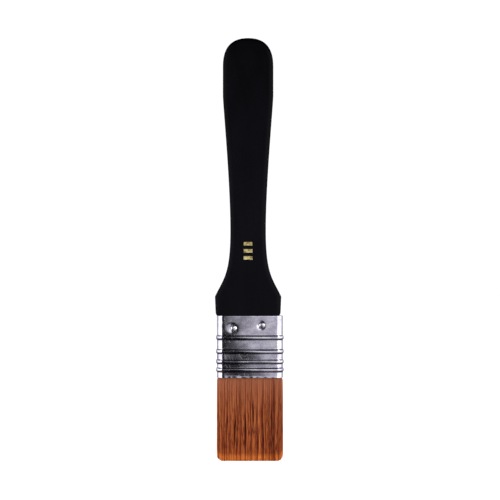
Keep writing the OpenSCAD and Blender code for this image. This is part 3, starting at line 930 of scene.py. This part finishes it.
class BRUSH_OT_nails(bpy.types.Operator):
    """Make the four hand-driven nails that hold the ferrule to the tenon"""

    bl_idname = "brush.nails"
    bl_label = "Nails"

    def execute(self, context):
        sizes = context.scene.brush_nails
        steel = nickel_plated_nail_steel(sizes)
        draw = random.Random(7)
        for name, (place, facing) in zip(NAILS, nail_places()):
            low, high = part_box(name)
            head = (high.x - low.x) / 2
            below = high.y - low.y - sizes.dome
            bm = bmesh.new()
            line = [bm.verts.new(p) for p in nail_profile(head, below, sizes)]
            edges = [bm.edges.new(pair) for pair in zip(line, line[1:])]
            bmesh.ops.spin(
                bm, geom=line + edges, cent=(0, 0, 0), axis=(0, 0, 1), angle=math.tau,
                steps=TURN_STEPS, use_merge=True,
            )
            bmesh.ops.remove_doubles(bm, verts=bm.verts, dist=1e-6)
            bmesh.ops.recalc_face_normals(bm, faces=bm.faces)
            for vert in bm.verts:
                if vert.co.z > DENTS_ABOVE:
                    dent = noise.noise(vert.co / DENT_WIDTH + Vector((draw.random(), 0, 0)))
                    vert.co.z += DENT_DEPTH * dent
            lean = Matrix.Rotation(draw.uniform(-1, 1) * sizes.tilt, 4, "X")
            lean = lean @ Matrix.Rotation(draw.uniform(-1, 1) * sizes.tilt, 4, "Y")
            upright = Matrix.Rotation(-facing * math.pi / 2, 4, "X")
            foot = Vector((place.x, (high.y if facing > 0 else low.y) - facing * sizes.dome, place.z))
            bmesh.ops.transform(bm, matrix=Matrix.Translation(foot) @ upright @ lean, verts=bm.verts)
            shade(bm, 45)
            obj = piece(name.replace("nail", "driven_nail"), bm, [steel])
            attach(obj, "root")
            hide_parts(name)
        return {"FINISHED"}


# ---- Setting ----


class BRUSH_OT_setting(bpy.types.Operator):
    """Finish the resin block and the wooden spacer inside the ferrule"""

    bl_idname = "brush.setting"
    bl_label = "Setting"

    def execute(self, context):
        finishes = {"resin_setting": epoxy_setting(), "spacer_plug": bare_beech("bare_beech_spacer")}
        for node, finish in finishes.items():
            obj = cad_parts[node]
            obj.data.materials.clear()
            obj.data.materials.append(finish)
        return {"FINISHED"}


# ---- Filaments ----

# Levels along a filament, as distances below the ferrule's mouth in millimetres: close together
# at the mouth, where the tuft widens, and again at the tapered end
LEVELS_BELOW = (0.0, 1.2, 4.0, 7.5, 11.0, 15.0, 19.5, 24.5, 29.5, 34.0, 36.6, 38.0)
STRAND_SIDES = 4
# Distance between filaments in the array that each group starts from, in filament radii
STRAND_PITCH = 10.0
# Depth below the mouth at which the tuft is fullest
FULLEST_BELOW = 9 * MM
# A smaller power makes the tuft reach its full width sooner below the mouth
WIDENING = 0.15
# 0 makes the tuft thin evenly to its tips, and 1 makes it thin mostly near them
LATE_THINNING = 0.65
# Radius of the tuft's upright corners
TUFT_CORNER = 2.6 * MM
# How much of a filament's thickness is lost along its length, and again in its tapered end
SLOW_TAPER = 0.12
END_TAPER = 0.5
END_STARTS = 0.86
LOCK_ROWS = 8
# This many locks side by side wander together
LOCKS_IN_WISP = 3
# How single filaments differ: spread of their stray, and ranges of thickness and of gathering
STRAY_SPREAD = 0.12
THICKNESS_RANGE = (0.82, 1.12)
GATHER_RANGE = (0.15, 0.6)
# Share of a filament's tone that comes from its lock, and the share left deep in the tuft, where the tone
# is darkened as painted shade
LOCK_TONE = 0.6
DEEP_SHADE_SHARE = 0.22
# Part of the free length by which a filament has gathered, and how much less it does so front to back
GATHERED_BY = 0.8
GATHER_DEPTH = 0.8
# A higher power puts the place where locks wander most nearer to the tips
LOOSE_POWER = 1.4
# The outermost part of each side, which keeps its place so that the tuft's sides stay straight
EDGE_PART = 1 / 9
# How far a filament strays from its lock at the tips, for each unit of its own stray
STRAY_REACH = 0.6 * MM
# Amplitude of a filament's own waver, and its turns in radians, side to side and front to back
WAVER = 0.05 * MM
WAVER_TURNS = (9, 8)
# How many more columns than rows of filaments a group has, and how far its outer row stands in
GROUP_SHAPE = 1.15
OUTER_ROW = 0.97


def strand_array(count):
    """Filaments of unit length and radius side by side, each cut across at the levels."""
    bm = bmesh.new()
    levels = len(LEVELS_BELOW)
    bmesh.ops.create_cone(
        bm, cap_ends=True, segments=STRAND_SIDES, radius1=1, radius2=1, depth=levels,
    )
    for i in range(1, levels):
        cut(bm, (0, 0, i - levels / 2), (0, 0, 1))
    done = 1
    while done < count:
        step = min(done, count - done)
        first = {v for v in bm.verts if v.co.x < (step - 0.5) * STRAND_PITCH}
        geom = [*first, *(g for g in (*bm.edges, *bm.faces) if g.verts[0] in first)]
        made = bmesh.ops.duplicate(bm, geom=geom)
        bmesh.ops.translate(bm, vec=(done * STRAND_PITCH, 0, 0), verts=verts_in(made))
        done += step
    return bm


def tuft_half(below, sizes):
    """Half width and half thickness of the tuft at this distance below the mouth."""
    root_width = (FERRULE_HIGH.x - FERRULE_LOW.x) / 2 - sizes.mouth_inset
    root_thick = -FERRULE_LOW.y - sizes.mouth_inset
    width = root_width + (TUFT_HALF - root_width) * (below / FREE_LENGTH) ** WIDENING
    if below < FULLEST_BELOW:
        thick = root_thick + (sizes.belly / 2 - root_thick) * ease(below / FULLEST_BELOW)
    else:
        rest = (below - FULLEST_BELOW) / (FREE_LENGTH - FULLEST_BELOW)
        thinned = rest * (1 - LATE_THINNING + LATE_THINNING * rest)
        thick = sizes.belly / 2 + (sizes.tips - sizes.belly) / 2 * thinned
    return width, thick


class Strand:
    """Where one filament runs: its place in the tuft's section, and the lock that it gathers into."""

    def __init__(self, draw, u, v, lock, sizes):
        self.u, self.v, self.lock = u, v, lock
        self.phase = draw.uniform(0, math.tau)
        self.stray = draw.gauss(0, STRAY_SPREAD)
        self.thick = draw.uniform(*THICKNESS_RANGE)
        self.gather = draw.uniform(*GATHER_RANGE)
        edge = abs(u) * TUFT_HALF - (TUFT_HALF - sizes.tip_round)
        rounded = sizes.tip_round - math.sqrt(max(sizes.tip_round ** 2 - max(edge, 0) ** 2, 0))
        self.short = rounded + abs(draw.gauss(0, 0.5)) * sizes.uneven + lock["short"]
        self.tone = LOCK_TONE * lock["tone"] + (1 - LOCK_TONE) * draw.random()
        # Painted shade: filaments deep in the tuft, between its front and rear faces, get a darker tone
        self.tone *= DEEP_SHADE_SHARE + (1 - DEEP_SHADE_SHARE) * ease(abs(v) * 1.1)

    def place(self, below, sizes):
        """Centre of the filament at this distance below the mouth."""
        part = below / FREE_LENGTH
        width, thick = tuft_half(below, sizes)
        lock = self.lock
        pull = self.gather * ease(part / GATHERED_BY)
        u = self.u + (lock["u"] - self.u) * pull
        v = self.v + (lock["v"] - self.v) * pull * GATHER_DEPTH
        x = u * width
        over = max(abs(x) - (width - TUFT_CORNER), 0) / TUFT_CORNER
        y = v * (thick - TUFT_CORNER * (1 - math.sqrt(max(1 - over * over, 0))))
        loose = math.sin(math.pi * part ** LOOSE_POWER) * ease(abs(self.v) * 1.7)
        wander = sizes.sway * loose * (math.sin(lock["phase"] + part * lock["waves"]) + lock["lean"])
        keep = min((1 - abs(u)) / EDGE_PART, 1)
        x += (wander + STRAY_REACH * self.stray * part) * keep
        x += WAVER * math.sin(self.phase + part * WAVER_TURNS[0]) * part * keep
        y += WAVER * math.cos(self.phase + part * WAVER_TURNS[1]) * part
        return Vector((FERRULE_X + x, y, 0))


def locks_of(draw, sizes):
    """The small locks that filaments gather into, by column and row, and the number of columns."""
    columns = round((TUFT_HIGH.x - TUFT_LOW.x) / sizes.lock)
    wisps = {
        (c, r): {
            "phase": draw.uniform(0, math.tau),
            "waves": draw.uniform(4, 9),
            "lean": draw.gauss(0, 0.5),
        }
        for c in range(columns // LOCKS_IN_WISP + 1)
        for r in range(LOCK_ROWS // LOCKS_IN_WISP + 1)
    }
    locks = {}
    for c in range(columns):
        for r in range(LOCK_ROWS):
            locks[c, r] = {
                "u": (c + 0.5 + draw.uniform(-0.3, 0.3)) / columns * 2 - 1,
                "v": (r + 0.5 + draw.uniform(-0.25, 0.25)) / LOCK_ROWS * 2 - 1,
                "tone": draw.uniform(0.1, 1),
                "short": draw.uniform(0, 0.14) * MM,
                **wisps[c // LOCKS_IN_WISP, r // LOCKS_IN_WISP],
            }
    return locks, columns


def fill_group(array, draw, row, group, locks, sizes):
    """One group of filaments: a stretch of the front or the rear row."""
    by_place, columns = locks
    count = sizes.per_group
    across = 2 / sizes.groups
    wide = math.ceil(math.sqrt(count * GROUP_SHAPE))
    deep = math.ceil(count / wide)
    strands = []
    for i in range(count):
        u = -1 + across * (group + ((i % wide) + draw.random()) / wide)
        depth = ((i // wide) + draw.random()) / deep
        v = -depth if row == "front" else depth
        c = min(int((u + 1) / 2 * columns + draw.uniform(-0.2, 0.2)), columns - 1)
        r = min(int((v + 1) / 2 * LOCK_ROWS), LOCK_ROWS - 1)
        strands.append(Strand(draw, u, v * OUTER_ROW, by_place[max(c, 0), r], sizes))
    bm = array.copy()
    tone = bm.verts.layers.float.new("tone")
    along = bm.verts.layers.float.new("along")
    levels = len(LEVELS_BELOW)
    for vert in bm.verts:
        number = round(vert.co.x / STRAND_PITCH)
        strand = strands[number]
        corner = Vector((vert.co.x - STRAND_PITCH * number, vert.co.y, 0))
        level = round(levels / 2 - vert.co.z)
        below = LEVELS_BELOW[level - 1] * MM if level else 0.0
        part = below / FREE_LENGTH
        if level:
            z = MOUTH_Z - below * (FREE_LENGTH - strand.short) / FREE_LENGTH
        else:
            z = ROOT_HIGH.z
        taper = 1 - SLOW_TAPER * part - END_TAPER * ease((part - END_STARTS) / (1 - END_STARTS))
        radius = sizes.strand / 2 * strand.thick * taper
        vert.co = strand.place(below, sizes) + corner * radius + Vector((0, 0, z))
        vert[tone] = strand.tone
        vert[along] = part
    for face in bm.faces:
        face.smooth = True
    return bm


class BRUSH_OT_filaments(bpy.types.Operator):
    """Make the two rows of filaments, in groups that run from the resin to the tips"""

    bl_idname = "brush.filaments"
    bl_label = "Filaments"

    def execute(self, context):
        sizes = context.scene.brush_tuft
        dyed = tapered_polyester_filament(sizes)
        draw = random.Random(30)
        locks = locks_of(draw, sizes)
        array = strand_array(sizes.per_group)
        for row in ("front", "rear"):
            for group in range(sizes.groups):
                bm = fill_group(array, draw, row, group, locks, sizes)
                obj = piece(f"filaments_{row}_{group + 1}", bm, [dyed])
                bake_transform(obj)
                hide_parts(f"filament_tuft_{row}", f"filament_root_{row}")
        array.free()
        return {"FINISHED"}


# ---- Foil mark ----

BAR_COLUMNS = 16
BAR_ROWS = 7
# Distance over which the foil's edge strays and comes back
RAGGED_STEP = 0.5 * MM
# A point is on a bar's edge past this share of the bar's half width or half height
ON_EDGE = 0.99


class BRUSH_OT_mark(bpy.types.Operator):
    """Make the three plain gold foil bars that stand for the size mark"""

    bl_idname = "brush.mark"
    bl_label = "Foil mark"

    def execute(self, context):
        sizes = context.scene.brush_mark
        bm = bmesh.new()
        width = FOIL_HIGH.x - FOIL_LOW.x
        step = (FOIL_HIGH.z - FOIL_LOW.z - sizes.bar) / 2
        middle = (FOIL_LOW + FOIL_HIGH) / 2
        for i in (-1, 0, 1):
            made = bmesh.ops.create_grid(bm, x_segments=BAR_COLUMNS, y_segments=BAR_ROWS, size=0.5)["verts"]
            bmesh.ops.scale(bm, vec=(width, sizes.bar, 1), verts=made)
            for vert in made:
                edge = max(abs(vert.co.x) * 2 / width, abs(vert.co.y) * 2 / sizes.bar)
                if edge > ON_EDGE:
                    stray = noise.noise(Vector((vert.co.x / RAGGED_STEP, vert.co.y / RAGGED_STEP, i * 5.3)))
                    vert.co.x -= math.copysign(sizes.ragged * abs(stray), vert.co.x)
                    vert.co.y -= math.copysign(sizes.ragged * abs(stray), vert.co.y)
            upright = Matrix.Rotation(math.pi / 2, 4, "X")
            place = Matrix.Translation((middle.x, FOIL_HIGH.y, middle.z + i * step))
            bmesh.ops.transform(bm, matrix=place @ upright, verts=made)
        grown = bmesh.ops.extrude_face_region(bm, geom=bm.faces[:])
        bmesh.ops.translate(bm, vec=(0, FOIL_LOW.y - FOIL_HIGH.y, 0), verts=verts_in(grown))
        bmesh.ops.recalc_face_normals(bm, faces=bm.faces)
        shade(bm, 30)
        obj = piece("foil_bars", bm, [hot_stamped_foil(sizes)])
        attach(obj, "root")
        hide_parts("foil_mark")
        return {"FINISHED"}


# ---- Stage ----

# How bright the studio is in mirror reflections, by degrees above and below the brush's level
STUDIO_HEIGHTS = (
    (-90, 0.05), (-40, 0.05), (-30, 0.12), (-20, 0.55), (0, 0.62), (8, 0.68), (12, 1.2),
    (18, 1.2), (24, 0.05), (60, 0.02), (90, 0.02),
)
# The same by degrees to either side of the front
STUDIO_TURNS = (
    (0, 0.88), (16, 0.88), (32, 1.0), (78, 1.0), (96, 0.6), (115, 0.5), (140, 0.14), (180, 0.3),
)
# What the dark screen reflects, and the light that is there without the soft boxes' reflections
SCREEN_GREY = 0.03
OPEN_STUDIO = 1.45
# Name, place, width in metres, power in watts, and whether mirror reflections show it
SOFT_BOXES = (
    ("left_soft_box", (-0.7, -0.75, 0.35), 0.5, 2, True),
    ("right_soft_box", (0.75, -0.7, 0.3), 0.5, 2.5, True),
    ("top_soft_box", (0, 0.1, 1.1), 0.9, 3, False),
)


def studio_world():
    """White round the brush. Mirror reflections see two broad soft lights at the sides, dark above
    and below, and a dark screen in front, a little to the left."""
    world = bpy.data.worlds.new("studio")
    world.use_nodes = True
    tree = world.node_tree
    tree.nodes.clear()
    way = add(tree, "ShaderNodeTexCoord").outputs["Generated"]
    x, y, z = add(tree, "ShaderNodeSeparateXYZ", [way]).outputs
    front = add(tree, "ShaderNodeMath", [y, -1.0], operation="MULTIPLY")
    side = add(tree, "ShaderNodeMath", [x, front], operation="ARCTAN2")
    up = add(tree, "ShaderNodeMath", [z], operation="ARCSINE")
    side = add(tree, "ShaderNodeMath", [side], operation="DEGREES")
    up = add(tree, "ShaderNodeMath", [up], operation="DEGREES")
    # The dark screen's right edge slants: it stands furthest left where the nailed band reflects it
    nail_level = add(tree, "ShaderNodeMapRange", [up, -5.4, -3.6, -2.5, -7.5])
    upper_level = add(tree, "ShaderNodeMapRange", [up, -3, -1.2, 0, 2])
    edge = add(tree, "ShaderNodeMath", [nail_level, upper_level], operation="ADD")
    past = add(tree, "ShaderNodeMath", [side, edge], operation="SUBTRACT")
    right_rim = add(tree, "ShaderNodeMapRange", [past, 0, 8, SCREEN_GREY, 1])
    right_rim.interpolation_type = "SMOOTHSTEP"
    left_rim = add(tree, "ShaderNodeMapRange", [side, -34, -28, 1, SCREEN_GREY])
    screen = add(tree, "ShaderNodeMath", [left_rim, right_rim], operation="MAXIMUM")
    stops = [((degrees + 90) / 180, (grey, grey, grey, 1)) for degrees, grey in STUDIO_HEIGHTS]
    height = add(tree, "ShaderNodeMapRange", [up, -90, 90, 0, 1])
    level = add(tree, "ShaderNodeValToRGB", [height], stops)
    stops = [(degrees / 180, (grey, grey, grey, 1)) for degrees, grey in STUDIO_TURNS]
    turned = add(tree, "ShaderNodeMath", [side], operation="ABSOLUTE")
    part_turned = add(tree, "ShaderNodeMapRange", [turned, 0, 180, 0, 1])
    round_about = add(tree, "ShaderNodeValToRGB", [part_turned], stops)
    # The side lights reach from just below the level of the brush to a little above it
    boxes = add(tree, "ShaderNodeMapRange", [turned, 16, 34, 0, 2.3], interpolation_type="SMOOTHSTEP")
    foot = add(tree, "ShaderNodeMapRange", [up, -10, -6.5, 0.15, 1])
    boxes = add(tree, "ShaderNodeMath", [boxes, foot], operation="MULTIPLY")
    head = add(tree, "ShaderNodeMapRange", [up, 10, 20, 1, 0.3])
    boxes = add(tree, "ShaderNodeMath", [boxes, head], operation="MULTIPLY")
    mirrored = add(tree, "ShaderNodeMath", [boxes, OPEN_STUDIO], operation="ADD")
    for share in (screen, level, round_about):
        mirrored = add(tree, "ShaderNodeMath", [mirrored, share], operation="MULTIPLY")
    rays = add(tree, "ShaderNodeLightPath")
    soft = add(tree, "ShaderNodeBackground", [linear("ffffff"), 1.12])
    glossy = add(tree, "ShaderNodeBackground", [linear("fbfaff"), mirrored])
    white = add(tree, "ShaderNodeBackground", [linear("ffffff"), 1.05])
    lit = add(tree, "ShaderNodeMixShader", [rays.outputs["Is Glossy Ray"], soft, glossy])
    seen = add(tree, "ShaderNodeMixShader", [rays.outputs["Is Camera Ray"], lit, white])
    add(tree, "ShaderNodeOutputWorld", [seen])
    return world


def soft_light(name, place, target, width, power, mirrored):
    """A square soft box that faces the target."""
    data = bpy.data.lights.new(name, "AREA")
    data.size = width
    data.energy = power
    lamp = bpy.data.objects.new(name, data)
    bpy.context.scene.collection.objects.link(lamp)
    lamp.location = place
    lamp.rotation_euler = (Vector(target) - Vector(place)).to_track_quat("-Z", "Y").to_euler()
    lamp.visible_camera = False
    lamp.visible_glossy = mirrored


class BRUSH_OT_stage(bpy.types.Operator):
    """Make the pale floor, the soft studio light and the camera"""

    bl_idname = "brush.stage"
    bl_label = "Stage"

    def execute(self, context):
        sizes = context.scene.brush_stage
        scene = context.scene
        bm = bmesh.new()
        bmesh.ops.create_circle(bm, cap_ends=True, segments=96, radius=sizes.floor_radius)
        bmesh.ops.translate(bm, vec=(0, 0, TIP_Z - sizes.floor_drop), verts=bm.verts)
        floor = piece("studio_floor", bm, [studio_paper()])
        floor.visible_glossy = False
        scene.world = studio_world()
        for name, place, width, power, mirrored in SOFT_BOXES:
            soft_light(name, place, (0, 0, sizes.view_z), width, power, mirrored)
        data = bpy.data.cameras.new("camera")
        data.lens = sizes.lens
        data.clip_start = 0.01
        data.clip_end = 20
        camera = bpy.data.objects.new("camera", data)
        scene.collection.objects.link(camera)
        distance = sizes.view_width * sizes.lens / data.sensor_width
        camera.location = (sizes.view_x, -distance, sizes.view_z)
        camera.rotation_euler = (math.pi / 2, 0, 0)
        scene.camera = camera
        scene.view_settings.view_transform = "Standard"
        return {"FINISHED"}


# ---- Panel ----

OPERATORS = (
    BRUSH_OT_handle,
    BRUSH_OT_ferrule,
    BRUSH_OT_nails,
    BRUSH_OT_setting,
    BRUSH_OT_filaments,
    BRUSH_OT_mark,
    BRUSH_OT_stage,
)
SETTINGS = {
    "brush_handle": HandleSizes,
    "brush_ferrule": FerruleSizes,
    "brush_nails": NailSizes,
    "brush_tuft": TuftSizes,
    "brush_mark": MarkSizes,
    "brush_stage": StageSizes,
}


class BRUSH_PT_pieces(bpy.types.Panel):
    """Lists the brush's pieces in the sidebar"""

    bl_idname = "BRUSH_PT_pieces"
    bl_label = "Flat brush"
    bl_space_type = "VIEW_3D"
    bl_region_type = "UI"
    bl_category = "Brush"

    def draw(self, context):
        for operator in OPERATORS:
            self.layout.operator(operator.bl_idname)


def register():
    for made in (*SETTINGS.values(), *OPERATORS, BRUSH_PT_pieces):
        bpy.utils.register_class(made)
    for name, group in SETTINGS.items():
        setattr(bpy.types.Scene, name, bpy.props.PointerProperty(type=group))


def unregister():
    for name in SETTINGS:
        delattr(bpy.types.Scene, name)
    for made in (BRUSH_PT_pieces, *reversed(OPERATORS), *reversed(list(SETTINGS.values()))):
        bpy.utils.unregister_class(made)


def main():
    register()
    bpy.ops.brush.handle()
    bpy.ops.brush.ferrule()
    bpy.ops.brush.nails()
    bpy.ops.brush.setting()
    bpy.ops.brush.filaments()
    bpy.ops.brush.mark()
    bpy.ops.brush.stage()


if __name__ == "__main__":
    main()
